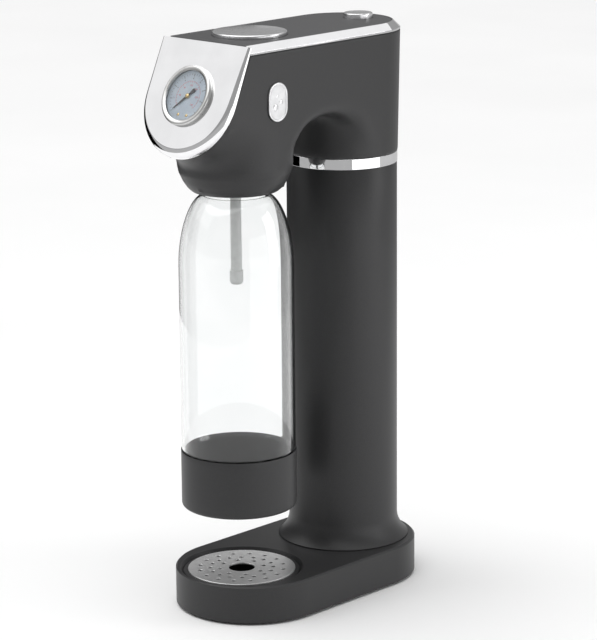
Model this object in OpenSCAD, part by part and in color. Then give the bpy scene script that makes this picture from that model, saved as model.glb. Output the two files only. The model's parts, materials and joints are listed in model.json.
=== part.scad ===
// Countertop soda carbonator: low plinth, round gas column, arched head with a
// gauge, and a bottle screwed into the head over a drip tray.
// +Z is up, the front is -Y, and the origin is at the middle of the footprint.

/* [Base] */
// Radius of the plinth's round ends
base_r = 57.2; // [50:0.1:65]
// Height of the plinth's top above the table
base_top = 29.6; // [26:0.1:40]
// Distance from the column's axis forward to the front end's centre
base_front = 100.5; // [90:0.5:120]
// Distance from the column's axis forward to the rear end's centre
base_rear = 3.5; // [0:0.5:10]
// Height of the rubber feet
foot_h = 1.8; // [1:0.1:4]

/* [Drip tray] */
// Distance from the column's axis forward to the tray's centre
tray_reach = 112; // [105:0.5:118]
// Radius of the perforated grate
grate_r = 39.9; // [36:0.1:41]
// Radius of the grate's holes
grate_hole_r = 1.7; // [1:0.1:2.5]
// Radius of the grate's large centre hole
grate_centre_r = 9.7; // [6:0.1:12]

/* [Column] */
// Outer radius of the column
column_r = 41.4; // [40:0.1:46]
// Height where the bright ring starts
ring_z = 320.9; // [310:0.1:330]
// Height of the bright ring
ring_h = 7.9; // [5:0.1:12]
// Radius of the column's flared foot
column_foot_r = 49.7; // [46:0.1:52]
// Height of the flare above the plinth
flare_h = 18; // [10:0.5:30]

/* [Gas cylinder] */
// Radius of the gas cylinder
cylinder_r = 30; // [28:0.5:31]
// Height of the top of the cylinder's straight wall
cylinder_wall_z = 306; // [280:1:308]
// Outer radius of the cylinder's valve
valve_r = 10.4; // [9:0.1:11]

/* [Bottle] */
// Distance from the column's axis forward to the bottle's axis
bottle_reach = 113.3; // [110:0.1:118]
// Outer radius of the bottle
bottle_r = 42; // [40:0.1:43]
// Height of the underside of the bottle's cup
bottle_z = 78.7; // [70:0.1:85]
// Height of the cup's upper edge
cup_top = 121.6; // [110:0.1:130]
// Outer radius of the bottle's neck
neck_r = 24; // [22:0.1:24.5]
// Wall of the bottle
bottle_wall = 1.8; // [1:0.1:3]

/* [Head] */
// Height of the flat top
head_top = 426; // [420:0.5:440]
// Half the head's width under the bright trim
head_r = 43.8; // [42:0.1:46]
// Width and height of the bright trim's slope
trim_w = 5.4; // [3:0.1:8]
// Wall of the head's shell
shell_wall = 2.6; // [2:0.1:4]
// Height of the arch's crown between the column and the front housing
arch_top = 366; // [350:0.5:367]
// Height of the front housing's lower rim
skirt_z = 315; // [312:0.5:318]
// Distance from the column's axis forward to the face's upper edge
face_reach = 141.1; // [140:0.1:142]
// Lean of the face from the vertical
face_lean = 26.5; // [26:0.5:27]
// Half the face's width, and the radius of its round lower end
face_r = 43.3; // [41:0.1:44]
// Length from the face's upper edge down to the centre of its round end
face_drop = 42; // [38:0.5:46]
// Depth of the face's rim
face_t = 8; // [6:0.5:9]

/* [Controls] */
// Radius of the big button
button_r = 27; // [24:0.1:28]
// Height of the big button above the top
button_h = 3.6; // [2:0.1:6]
// Distance from the column's axis forward to the big button's axis
button_reach = 96.8; // [94:0.1:100]
// Travel of the big button
button_travel = 5; // [3:0.5:5]
// Radius of the small button
release_r = 10.85; // [8:0.05:12]
// Height of the small button above the top
release_h = 4; // [2:0.1:5]
// Distance from the column's axis back to the small button's axis
release_back = 18.7; // [18:0.1:20]
// Travel of the small button
release_travel = 3; // [2:0.5:3]
// Radius of the gauge's bezel
bezel_r = 22.4; // [22:0.1:25]
// Radius of the gauge's window
window_r = 18.6; // [15:0.1:18.8]
// Length from the face's upper edge down to the gauge's centre
gauge_drop = 41; // [38:0.5:44]

/* [Hidden] */
$fn = 96;
fit = 0.3;
run = 0.05;
skin = 0.2;
nozzle_r = 4;
screw_r = 1.5;
face_edge = 5;
plate_t = 2.4;
face_front_y = face_reach + (face_drop + face_r - face_edge) * sin(face_lean);
rear_reach = base_r - base_rear;
col_y = (face_front_y - rear_reach) / 2;
bot_y = col_y - bottle_reach;
front_y = col_y - base_front;
rear_y = col_y - base_rear;
tray_y = col_y - tray_reach;
but_y = col_y - button_reach;
rel_y = col_y + release_back;
face_y = col_y - face_reach;
head_z = ring_z + ring_h;
barrel_r = column_r + 0.6;
trim_z = head_top - trim_w - 0.6;
ledge_z = base_top - 3;
plate_top = foot_h + 2.5;
deck_z = 386;
deck_t = 3;
lever_z = 398;
lever_t = 6.3;
pivot_back = 26;
seat_z = 350;
socket_z = skirt_z + 3;
socket_top = 344;
hatch_r = 33;

// ---------- shared shapes ----------

// Cylinder from height z0 to z1 at (0, y), with radius r0 below and r1 above
module post(y, r0, r1, z0, z1) {
    translate([0, y, z0]) cylinder(r1 = r0, r2 = r1, h = z1 - z0);
}

// Slab with round ends at ya and yb, whose half width goes from r0 to r1
module slab(ya, yb, r0, r1, z0, z1) {
    post(ya, r0, r1, z0, z1);
    post(yb, r0, r1, z0, z1);
    translate([0, yb, 0]) rotate([90, 0, 0])
        linear_extrude(yb - ya)
            polygon([[-r0, z0], [r0, z0], [r1, z1], [-r1, z1]]);
}

// Ring about the axis at (0, y)
module ring(y, r_in, r_out, z0, z1) {
    difference() {
        post(y, r_out, r_out, z0, z1);
        post(y, r_in, r_in, z0 - 1, z1 + 1);
    }
}

// Coil spring of wire radius w standing from z0 to z1 on the axis at (0, y)
module coil(y, r, w, turns, z0, z1) {
    per_turn = 20;
    sides = 6;
    rings = turns * per_turn;
    rise = (z1 - z0 - 2 * w) / rings;
    points = [for (i = [0 : rings], j = [0 : sides - 1])
        let (a = 360 * i / per_turn, b = 360 * j / sides)
            [(r + w * cos(b)) * cos(a), y + (r + w * cos(b)) * sin(a),
             z0 + w + rise * i + w * sin(b)]];
    walls = [for (i = [0 : rings - 1], j = [0 : sides - 1])
        let (k = (j + 1) % sides)
            [i * sides + j, i * sides + k, (i + 1) * sides + k, (i + 1) * sides + j]];
    start = [for (j = [sides - 1 : -1 : 0]) j];
    finish = [for (j = [0 : sides - 1]) rings * sides + j];
    polyhedron(points, concat([start], walls, [finish]));
}

// Round bar through a list of points
module bar(route, r) {
    for (i = [0 : len(route) - 2]) {
        step = route[i + 1] - route[i];
        translate(route[i])
            rotate([0, acos(step[2] / norm(step)), atan2(step[1], step[0])])
                cylinder(r = r, h = norm(step), $fn = 24);
        if (i > 0) translate(route[i]) sphere(r = r * 1.15, $fn = 24);
    }
}

// Puts its children on the face: x across, -y down the face, z outward
module on_face() {
    translate([0, face_y, head_top]) rotate([90 - face_lean, 0, 0]) children();
}

// The same, at the gauge's centre
module at_gauge() {
    on_face() translate([0, -gauge_drop, 0]) children();
}

// Outline of the face, inset all round by d
module face_outline(d) {
    translate([0, -face_drop]) circle(r = face_r - d);
    translate([-face_r + d, -face_drop]) square([2 * (face_r - d), face_drop]);
}

// Half space in front of the plane that lies d behind the face
module before_face(d) {
    on_face() translate([-100, -200, -d]) cube([200, 300, 100]);
}

base_screw_spots = [for (s = [-1, 1], p = [[46, -85], [46, -45], [44, 10]])
    [s * p[0], col_y + p[1]]];

// ---------- plinth ----------

module base_shell() {
    chamfer = 1.4;
    wall = 2.5;
    color("#3c3c3e") difference() {
        union() {
            difference() {
                union() {
                    slab(front_y, rear_y, base_r, base_r, foot_h, base_top - chamfer);
                    slab(front_y, rear_y, base_r, base_r - chamfer, base_top - chamfer, base_top);
                }
                slab(front_y, rear_y, base_r - wall, base_r - wall, foot_h - 1, ledge_z - 0.6);
            }
            for (p = base_screw_spots)
                translate([p[0], p[1], plate_top]) cylinder(r = 4, h = ledge_z - plate_top);
        }
        post(tray_y, 41.6, 41.6, 0, base_top + 1);
        post(tray_y, 43.6, 45.6, ledge_z, base_top + 0.01);
        post(col_y, 33.6, 33.6, 0, base_top + 1);
        for (p = base_screw_spots)
            translate([p[0], p[1], 0]) cylinder(r = screw_r + run, h = 16);
        for (a = [45 : 90 : 315])
            translate([39.5 * cos(a), col_y + 39.5 * sin(a), 0])
                cylinder(r = screw_r + 0.2, h = base_top + 1);
    }
}

module bottom_plate() {
    edge = base_r - 2.5 - fit;
    color("#2c2c2e") difference() {
        slab(front_y, rear_y, edge, edge, foot_h, plate_top);
        post(col_y, hatch_r + fit, hatch_r + fit, 0, 20);
        for (a = [30 : 120 : 270])
            translate([0, col_y, 0]) rotate([0, 0, a]) translate([28, -6.5, 0])
                cube([9, 13, 20]);
        for (p = base_screw_spots)
            translate([p[0], p[1], 0]) cylinder(r = screw_r + 0.2, h = 20);
    }
}

module rubber_feet() {
    color("#202020") for (s = [-1, 1]) {
        translate([s * 31, front_y - 30, 0]) cylinder(r1 = 5.4, r2 = 6, h = foot_h);
        translate([s * 31, col_y + 30.5, 0]) cylinder(r1 = 5.4, r2 = 6, h = foot_h);
    }
}

module base_screws() {
    color("silver") for (p = base_screw_spots) translate([p[0], p[1], foot_h - 1.4]) {
        difference() {
            cylinder(r = 2.9, h = 1.4);
            translate([-2, -0.4, -0.1]) cube([4, 0.8, 0.9]);
            translate([-0.4, -2, -0.1]) cube([0.8, 4, 0.9]);
        }
        translate([0, 0, 1.3]) cylinder(r = screw_r, h = 11);
    }
}

module column_screws() {
    color("silver") for (a = [45 : 90 : 315])
        translate([39.5 * cos(a), col_y + 39.5 * sin(a), ledge_z - 2.2]) {
            cylinder(r = 2.9, h = 1.6);
            cylinder(r = screw_r, h = 9);
        }
}

module cylinder_hatch() {
    color("#343436") {
        post(col_y, hatch_r, hatch_r, foot_h, plate_top);
        post(col_y, 30, 30, plate_top - 1, plate_top + fit + 2);
        for (a = [90 : 120 : 330]) translate([0, col_y, 0]) rotate([0, 0, a])
            translate([20, -5, plate_top + fit]) cube([15.5, 10, 1.8]);
        translate([-14, col_y - 1.5, foot_h - 1.2]) cube([28, 3, 1.3]);
    }
}

// ---------- drip tray ----------

module drip_tray() {
    color("#2e2e30") difference() {
        union() {
            post(tray_y, 40.4, 41.2, 7, ledge_z);
            post(tray_y, 43.2, 43.2, ledge_z, ledge_z + 1);
        }
        post(tray_y, 38, 38.6, 8.6, ledge_z + 2);
    }
}

module drip_grate() {
    rows = [[8, 16.5, 10], [16, 23.4, 0], [16, 31.4, 11]];
    color("#d9d9da") difference() {
        post(tray_y, grate_r, grate_r, ledge_z + 1, ledge_z + 2.2);
        post(tray_y, grate_centre_r, grate_centre_r, 0, 40);
        for (row = rows, i = [1 : row[0]]) {
            a = row[2] + 360 * i / row[0];
            translate([row[1] * cos(a), tray_y + row[1] * sin(a), 0])
                cylinder(r = grate_hole_r, h = 40);
        }
    }
}

// ---------- column ----------

module column_tube() {
    rise = flare_h - 1;
    step = column_foot_r - column_r;
    flare_r = (rise * rise + step * step) / (2 * step);
    foot_z = base_top;
    color("#3c3c3e") difference() {
        translate([0, col_y, 0]) rotate_extrude() difference() {
            union() {
                translate([39, foot_z]) square([column_r - 39, ring_z - foot_z]);
                translate([34, foot_z]) square([column_foot_r - 34, flare_h]);
                translate([33.6, ring_z - 5]) square([7, 5]);
            }
            translate([column_r + flare_r, foot_z + flare_h]) circle(r = flare_r);
            translate([column_r, foot_z + flare_h]) square([20, 300]);
            translate([30, foot_z + 6]) square([9, flare_h]);
        }
        for (a = [45 : 90 : 315]) {
            translate([39.5 * cos(a), col_y + 39.5 * sin(a), foot_z - 1])
                cylinder(r = screw_r + run, h = 8);
            translate([36.2 * cos(a), col_y + 36.2 * sin(a), ring_z - 6])
                cylinder(r = screw_r + run, h = 8);
        }
    }
}

module column_ring() {
    color("#e0e0e2") difference() {
        ring(col_y, 33.8, column_r + 0.3, ring_z, head_z);
        for (a = [45 : 90 : 315])
            translate([36.2 * cos(a), col_y + 36.2 * sin(a), ring_z - 1])
                cylinder(r = screw_r + 0.2, h = 12);
    }
}

// ---------- gas cylinder ----------

module gas_cylinder() {
    wall = 2.4;
    floor_z = 9;
    neck_z = 338;
    color("#8f9ba3") difference() {
        union() {
            post(col_y, cylinder_r - 6, cylinder_r, floor_z, floor_z + 6);
            post(col_y, cylinder_r, cylinder_r, floor_z + 6, cylinder_wall_z);
            translate([0, col_y, cylinder_wall_z]) intersection() {
                sphere(r = cylinder_r);
                cylinder(r = cylinder_r, h = cylinder_r);
            }
            post(col_y, 13, 13, cylinder_wall_z + 20, neck_z);
        }
        post(col_y, 8 + run, 8 + run, 320, neck_z + 1);
        post(col_y, cylinder_r - wall, cylinder_r - wall, floor_z + 8, cylinder_wall_z);
        post(col_y, cylinder_r - wall, 8, cylinder_wall_z, cylinder_wall_z + 16);
        post(col_y, cylinder_r - 12, cylinder_r - 16, floor_z - 1, floor_z + 4);
    }
}

module cylinder_valve() {
    color("#c8a24a") difference() {
        union() {
            post(col_y, 8, 8, 320.5, 338);
            post(col_y, 12.5, 12.5, 338, 344);
            post(col_y, valve_r, valve_r, 344, 364.5);
            post(col_y, valve_r, valve_r - 1.2, 364.5, 366);
        }
        post(col_y, 1.6, 1.6, 340, 370);
    }
}

module valve_pin() {
    color("silver") post(col_y, 1.5, 1.5, 342, 367.3);
}

module cylinder_seat() {
    flat = deck_z - 2;
    color("#b9bcc0") difference() {
        union() {
            post(col_y, 17, 17, seat_z, flat);
            post(col_y, 22, 22, flat, deck_z);
        }
        post(col_y, valve_r + 0.3, valve_r + 0.3, seat_z - 1, 368.6);
        post(col_y, 3 + run, 3 + run, 360, deck_z + 1);
    }
}

module seat_gasket() {
    color("#1f1f1f") ring(col_y, 3.6, 9.8, 366.3, 368.6);
}

module seat_plunger() {
    color("silver") {
        post(col_y, 3, 3, 367.7, lever_z - 4);
        post(col_y, 5.5, 5.5, lever_z - 4, lever_z - fit);
    }
}

// ---------- mechanism in the head ----------

module valve_lever() {
    tip = col_y - but_y + 4;
    color("silver") difference() {
        translate([0, col_y, lever_z]) {
            translate([-6, -tip, 0]) cube([12, tip - 8, lever_t]);
            translate([-10.5, -9, 0]) cube([21, 18, lever_t]);
            for (s = [-10.5, 7.5]) translate([s, 8, 0]) cube([3, pivot_back - 8, lever_t]);
            for (s = [-10.5, 7.5]) translate([s, pivot_back, lever_t / 2])
                rotate([0, 90, 0]) cylinder(r = lever_t / 2, h = 3);
        }
        translate([-20, col_y + pivot_back, lever_z + lever_t / 2])
            rotate([0, 90, 0]) cylinder(r = 2 + run, h = 40);
    }
}

module lever_pivot_pin() {
    color("#9a9a9c") translate([-15, col_y + pivot_back, lever_z + lever_t / 2])
        rotate([0, 90, 0]) cylinder(r = 2, h = 30);
}

chassis_spots = [for (s = [-33, 33], d = [46, 68]) [s, col_y - d]];

module chassis() {
    color("#6f7478") difference() {
        union() {
            slab(col_y - 80, col_y, 34, 34, deck_z, deck_z + deck_t);
            for (p = chassis_spots)
                translate([p[0], p[1], deck_z]) cylinder(r = 5, h = deck_t);
            for (s = [-14.2, 11.2]) translate([s, col_y + pivot_back - 6, deck_z])
                cube([3, 11, lever_z - deck_z + lever_t + 3]);
        }
        post(col_y, 6.5, 6.5, 0, deck_z + 10);
        for (p = chassis_spots)
            translate([p[0], p[1], 0]) cylinder(r = screw_r + 0.2, h = 500);
        translate([-20, col_y + pivot_back, lever_z + lever_t / 2])
            rotate([0, 90, 0]) cylinder(r = 2 + 0.02, h = 40);
    }
}

module chassis_screws() {
    color("silver") for (p = chassis_spots) translate([p[0], p[1], 0]) {
        translate([0, 0, deck_z + deck_t]) cylinder(r = 2.9, h = 1.8);
        translate([0, 0, deck_z - 8]) cylinder(r = screw_r, h = 8 + deck_t);
    }
}

module manifold_block() {
    color("#c8a24a") difference() {
        translate([-13, col_y - 72, 371]) cube([26, 34, deck_z - 371]);
        translate([13 - 6, col_y - 50, 378]) rotate([0, 90, 0]) cylinder(r = 3 + run, h = 10);
        translate([0, col_y - 73, 378]) rotate([-90, 0, 0]) cylinder(r = 1.2, h = 40);
    }
}

module relief_valve() {
    color("#b9bcc0") translate([0, col_y - 50, 378]) rotate([0, 90, 0]) {
        translate([0, 0, 7.5]) cylinder(r = 3, h = 6);
        translate([0, 0, 13.05]) cylinder(r = 6.2, h = 5, $fn = 6);
        translate([0, 0, 18]) cylinder(r = 4, h = 8);
    }
}

module release_valve() {
    color("#c8a24a") difference() {
        union() {
            post(rel_y, 6, 6, deck_z + deck_t, deck_z + deck_t + 3);
            post(rel_y, 5, 5, deck_z + deck_t, 401);
        }
        post(rel_y, 2.6 + run, 2.6 + run, 391.5, 410);
    }
}

module gas_pipe() {
    color("#c07a4a") bar([[0, col_y - 16.9, 378], [0, col_y - 38.1, 378]], 2);
}

module nozzle_pipe() {
    color("#c07a4a") bar([[0, col_y - 71.9, 378], [0, col_y - 98, 378], [0, bot_y, 366],
        [0, bot_y, 355.9]], 2);
}

module gauge_pipe() {
    back = [0, face_y - gauge_drop * sin(face_lean) + 28 * cos(face_lean),
        head_top - gauge_drop * cos(face_lean) - 28 * sin(face_lean)];
    color("#c07a4a") bar([[9, col_y - 71.9, 382], [9, col_y - 112, 382],
        back + [0, 4 * cos(face_lean), -4 * sin(face_lean)], back], 1.6);
}

// ---------- head casing ----------

// Half width of the head's drafted sides at height z
function side(z) = barrel_r + (head_r - barrel_r) * (z - head_z) / (trim_z - head_z);

// Solid outer form of the head, below its trim and behind its face
module head_form() {
    arch_r = 45;
    neck_depth = 50;
    far = col_y - 190;
    difference() {
        slab(far, col_y, side(arch_top), head_r, arch_top, trim_z);
        before_face(face_t);
    }
    on_face() translate([0, 0, -neck_depth]) linear_extrude(neck_depth - face_t) face_lower();
    difference() {
        slab(bot_y, col_y, side(head_z + 12), side(arch_top), head_z + 12, arch_top);
        translate([-60, (bot_y + col_y) / 2, arch_top - arch_r])
            rotate([0, 90, 0]) cylinder(r = arch_r, h = 120);
    }
    post(col_y, barrel_r, head_r, head_z, trim_z);
    translate([0, bot_y, 0]) rotate_extrude() polygon([[0, skirt_z], [30, skirt_z],
        [31.8, skirt_z + 0.7], [34.8, skirt_z + 3.5], [37.8, skirt_z + 8],
        [40.9, skirt_z + 14.5], [42.1, skirt_z + 21], [side(arch_top), arch_top + 1],
        [0, arch_top + 1]]);
}

// Face outline below the trim
module face_lower() {
    difference() {
        face_outline(0.3);
        translate([-60, -8.5]) square([120, 20]);
    }
}

module head_shell() {
    floor_z = arch_top + shell_wall;
    inner = side(arch_top) - shell_wall;
    color("#3c3c3e") difference() {
        union() {
            difference() {
                head_form();
                post(col_y, barrel_r - shell_wall, inner, head_z + 4.5, arch_top + 5);
                slab(col_y - 125, col_y, inner, head_r - shell_wall, floor_z, trim_z + 1);
                post(bot_y, 30.8, 38.4, skirt_z + 4, skirt_z + 16);
                post(bot_y, 38.8, inner, skirt_z + 16, floor_z + 1);
                on_face() translate([0, 0, -44]) linear_extrude(60) face_outline(3.4);
            }
            for (p = chassis_spots)
                translate([p[0], p[1], arch_top]) cylinder(r = 4, h = deck_z - arch_top);
            for (a = [30 : 120 : 270])
                translate([33.4 * cos(a), bot_y + 33.4 * sin(a), skirt_z + 4])
                    cylinder(r = 3.2, h = socket_top - 3 - skirt_z - 4);
        }
        post(col_y, 33.8, 33.8, head_z - 1, arch_top);
        post(bot_y, 29.4, 29.4, skirt_z - 1, skirt_z + 12);
        for (p = chassis_spots)
            translate([p[0], p[1], deck_z - 10]) cylinder(r = screw_r + run, h = 12);
        for (a = [30 : 120 : 270])
            translate([33.4 * cos(a), bot_y + 33.4 * sin(a), socket_top - 14])
                cylinder(r = screw_r + run, h = 20);
        for (a = [45 : 90 : 315])
            translate([36.2 * cos(a), col_y + 36.2 * sin(a), head_z - 1])
                cylinder(r = screw_r + 0.2, h = 12);
    }
}

module head_screws() {
    color("silver") for (a = [45 : 90 : 315])
        translate([36.2 * cos(a), col_y + 36.2 * sin(a), 0]) {
            translate([0, 0, head_z + 4.5]) cylinder(r = 2.6, h = 1.8);
            translate([0, 0, ring_z - 4.5]) cylinder(r = screw_r, h = ring_h + 9);
        }
}

module top_panel() {
    r = head_r - trim_w - 0.9;
    well = 414;
    far = col_y - 160;
    color("#4a4a4c") difference() {
        union() {
            difference() {
                slab(far, col_y, r, r, head_top - 3, head_top);
                before_face(plate_t + run);
            }
            post(but_y, button_r + 2, button_r + 2, well - 2, head_top);
            post(rel_y, release_r + 2, release_r + 2, well - 2, head_top);
            post(but_y, 9.6, 9.6, lever_z + lever_t + 2.6, well);
        }
        difference() {
            post(but_y, button_r + fit, button_r + fit, well, head_top + 1);
            post(but_y, 9.6, 9.6, 0, well + 2);
        }
        post(rel_y, release_r + fit, release_r + fit, well, head_top + 1);
        post(but_y, 7 + run, 7 + run, 0, head_top);
        post(rel_y, 2.5 + run, 2.5 + run, 0, head_top);
    }
}

module top_trim() {
    r = head_r - trim_w;
    far = col_y - 160;
    color("#e0e0e2") difference() {
        slab(far, col_y, head_r, r, trim_z, head_top + 0.2);
        slab(far - 50, col_y, r - 2.2, r - 2.2, trim_z - 1, head_top + 5);
        slab(far - 50, col_y, r - 0.6, r - 0.6, head_top - 3, head_top + 5);
        before_face(plate_t + run);
    }
}

module front_mask() {
    color("#e8e8ea") difference() {
        on_face() difference() {
            union() {
                slab(-face_drop, 30, face_r, face_r - face_edge, -face_edge, 0);
                slab(-face_drop, 30, face_r, face_r, -face_t, -face_edge);
            }
            slab(-face_drop, 50, face_r - face_edge, face_r - face_edge, -face_t - 1, -plate_t);
            translate([0, -gauge_drop, -20]) cylinder(r = 21.3, h = 40);
            translate([-100, 0, -50]) cube([200, 100, 100]);
        }
        translate([-100, -300, head_top]) cube([200, 600, 20]);
        difference() {
            translate([-100, -300, trim_z]) cube([200, 600, 20]);
            before_face(plate_t);
        }
    }
}

module side_badge() {
    half_w = 9.5;
    half_h = 4.5;
    middle_z = 384;
    plate = 1.3;
    relief = 0.4;
    color("#c8c8ca") translate([side(middle_z + 14) + 0.02, col_y - 113.7, middle_z])
        rotate([0, 90, 0]) {
            linear_extrude(plate) {
                for (s = [-1, 1]) translate([s * half_h, 0]) circle(r = half_w);
                translate([-half_h, -half_w]) square([2 * half_h, 2 * half_w]);
            }
            translate([3.6, -2.4, plate]) cylinder(r = 2.6, h = relief);
            translate([0.4, 3.2, plate]) cylinder(r = 1.9, h = relief);
            translate([-4.2, -0.6, plate]) cylinder(r = 1.4, h = relief);
        }
}

// ---------- buttons ----------

module carbonation_button() {
    top = head_top + button_h;
    color("#d0d0d2") difference() {
        union() {
            post(but_y, button_r, button_r, head_top - 5, top - 1);
            post(but_y, button_r, button_r - 1, top - 1, top);
            post(but_y, 7, 7, lever_z + lever_t + 4, top - 1);
            post(but_y, 3, 3, lever_z + lever_t + fit, top - 1);
        }
        difference() {
            post(but_y, button_r - 2, button_r - 2, head_top - 6, top - 2.6);
            post(but_y, 7, 7, 0, 500);
        }
    }
}

module button_spring() {
    color("silver") coil(but_y, 13, 0.7, 4, 414.1, head_top + button_h - 2.7);
}

module release_button() {
    top = head_top + release_h;
    color("#d0d0d2") {
        post(rel_y, release_r, release_r, head_top - 4, top - 0.7);
        post(rel_y, release_r, release_r - 0.7, top - 0.7, top);
        post(rel_y, 2.5, 2.5, 396, head_top - 3);
    }
}

module release_spring() {
    color("silver") coil(rel_y, 6, 0.6, 4, 414.1, head_top - 4.1);
}

// ---------- gauge ----------

module gauge_case() {
    color("#9a9a9c") at_gauge() {
        difference() {
            translate([0, 0, -24]) cylinder(r = 21, h = 24);
            translate([0, 0, -22]) cylinder(r = 19.6, h = 40);
        }
        translate([0, 0, -28]) cylinder(r = 4, h = 4.1);
    }
}

module gauge_dial() {
    color("#dfe9f2") at_gauge() difference() {
        translate([0, 0, -1.2]) cylinder(r = 19.3, h = 0.8);
        translate([0, 0, -5]) cylinder(r = 0.8 + run, h = 10);
    }
}

module gauge_needle() {
    color("#1a1a1a") at_gauge() rotate([0, 0, 225]) {
        translate([0, 0, -3]) cylinder(r = 0.8, h = 3.6);
        cylinder(r = 2, h = 1);
        linear_extrude(0.6) polygon([[-7, -1.5], [0, -0.9], [14.5, -0.2], [14.5, 0.2],
            [0, 0.9], [-7, 1.5]]);
    }
}

module gauge_glass() {
    color("#eef4f8", 0.35) at_gauge() translate([0, 0, 1.6]) cylinder(r = 19.3, h = 0.9);
}

module gauge_bezel() {
    proud = 3.4;
    color("#c9c9cb") at_gauge() difference() {
        union() {
            translate([0, 0, 0.1]) cylinder(r = bezel_r, h = proud - 1.3);
            translate([0, 0, proud - 1.2]) cylinder(r1 = bezel_r, r2 = bezel_r - 1.6, h = 1.2);
        }
        translate([0, 0, -1]) cylinder(r = 19.4, h = 3.6);
        translate([0, 0, 2.5]) cylinder(r1 = window_r, r2 = window_r + 1, h = 2);
    }
}

// ---------- bottle and its holder ----------

module bottle_socket() {
    color("#2c2c2e") difference() {
        union() {
            post(bot_y, 28.9, 28.9, socket_z, socket_top);
            post(bot_y, 29, 29, socket_top - 3, socket_top);
            for (a = [30 : 120 : 270])
                translate([0, bot_y, socket_top - 3]) rotate([0, 0, a]) {
                    translate([20, -4, 0]) cube([13.4, 8, 3]);
                    translate([33.4, 0, 0]) cylinder(r = 4, h = 3);
                }
            post(bot_y, 10, 10, socket_top, socket_top + 8);
        }
        post(bot_y, 25.7, 25.7, socket_z - 1, socket_top - 4);
        post(bot_y, nozzle_r + run, nozzle_r + run, 300, 400);
        for (a = [30 : 120 : 270])
            translate([33.4 * cos(a), bot_y + 33.4 * sin(a), 300])
                cylinder(r = screw_r + 0.2, h = 80);
    }
}

module socket_screws() {
    color("silver") for (a = [30 : 120 : 270])
        translate([33.4 * cos(a), bot_y + 33.4 * sin(a), socket_top]) {
            cylinder(r = 2.8, h = 1.6);
            translate([0, 0, -12]) cylinder(r = screw_r, h = 12.1);
        }
}

module bottle_seal() {
    color("#cfcfd0") ring(bot_y, 12, 25.3, socket_top - 6, socket_top - 4);
}

module nozzle_tube() {
    color("#cfd2d4") ring(bot_y, 2, nozzle_r, 256, 356);
}

module nozzle_tip() {
    color("#dcdedf") difference() {
        union() {
            post(bot_y, 3.9, 4.9, 246, 248);
            post(bot_y, 4.9, 4.9, 248, 256);
        }
        post(bot_y, 0.8, 0.8, 240, 260);
    }
}

// Radius of the bottle's shoulder, a share t of the way from the wall to the neck
function shoulder(t) = neck_r + (bottle_r - neck_r) * pow(1 - t * t, 0.6);

// Outline of the bottle, inset by d
module bottle_outline(d) {
    foot_z = bottle_z + 3;
    wall_z = 259;
    neck_z = 312;
    steps = 9;
    low_r = bottle_r - 2.2;
    polygon(concat(
        [[0, foot_z + 6 + d], [14, foot_z + 5 + d], [26, foot_z + d], [34, foot_z + d],
         [low_r - d, foot_z + 7], [low_r - d, cup_top - 2], [bottle_r - d, cup_top + 1]],
        [for (i = [0 : steps]) let (t = i / steps)
            [max(shoulder(t), neck_r) - d, wall_z + (neck_z - wall_z) * t]],
        [[neck_r - d, socket_top - 6.3 + d], [0, socket_top - 6.3 + d]]));
}

module bottle() {
    color("#e6eef0", 0.4) translate([0, bot_y, 0]) rotate_extrude() {
        difference() {
            bottle_outline(0);
            bottle_outline(bottle_wall);
            translate([0, 320]) square([neck_r - bottle_wall, 40]);
        }
        translate([neck_r - 1, 315.5]) square([2, 1.6]);
        for (z = [322, 328, 334]) translate([neck_r - 1, z]) square([2.2, 1.6]);
    }
}

module bottle_base_cup() {
    color("#343436") difference() {
        union() {
            post(bot_y, bottle_r - 2.4, bottle_r + 0.6, bottle_z, bottle_z + 3);
            post(bot_y, bottle_r + 0.6, bottle_r + 0.6, bottle_z + 3, cup_top);
        }
        post(bot_y, bottle_r - 2, bottle_r - 2, bottle_z + 2.8, cup_top - 2.5);
        post(bot_y, bottle_r - 2, bottle_r + 0.1, cup_top - 2.5, cup_top + 1);
    }
}

base_shell();
bottom_plate();
rubber_feet();
base_screws();
column_screws();
cylinder_hatch();
drip_tray();
drip_grate();
column_tube();
column_ring();
gas_cylinder();
cylinder_valve();
valve_pin();
cylinder_seat();
seat_gasket();
seat_plunger();
valve_lever();
lever_pivot_pin();
chassis();
chassis_screws();
manifold_block();
relief_valve();
release_valve();
gas_pipe();
nozzle_pipe();
gauge_pipe();
head_shell();
head_screws();
top_panel();
top_trim();
front_mask();
side_badge();
carbonation_button();
button_spring();
release_button();
release_spring();
gauge_case();
gauge_dial();
gauge_needle();
gauge_glass();
gauge_bezel();
bottle_socket();
socket_screws();
bottle_seal();
nozzle_tube();
nozzle_tip();
bottle();
bottle_base_cup();
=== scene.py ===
"""Soda carbonator: camera, studio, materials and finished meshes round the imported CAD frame."""
import bmesh
import bpy
import json
import math
from mathutils import Matrix, Vector

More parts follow.
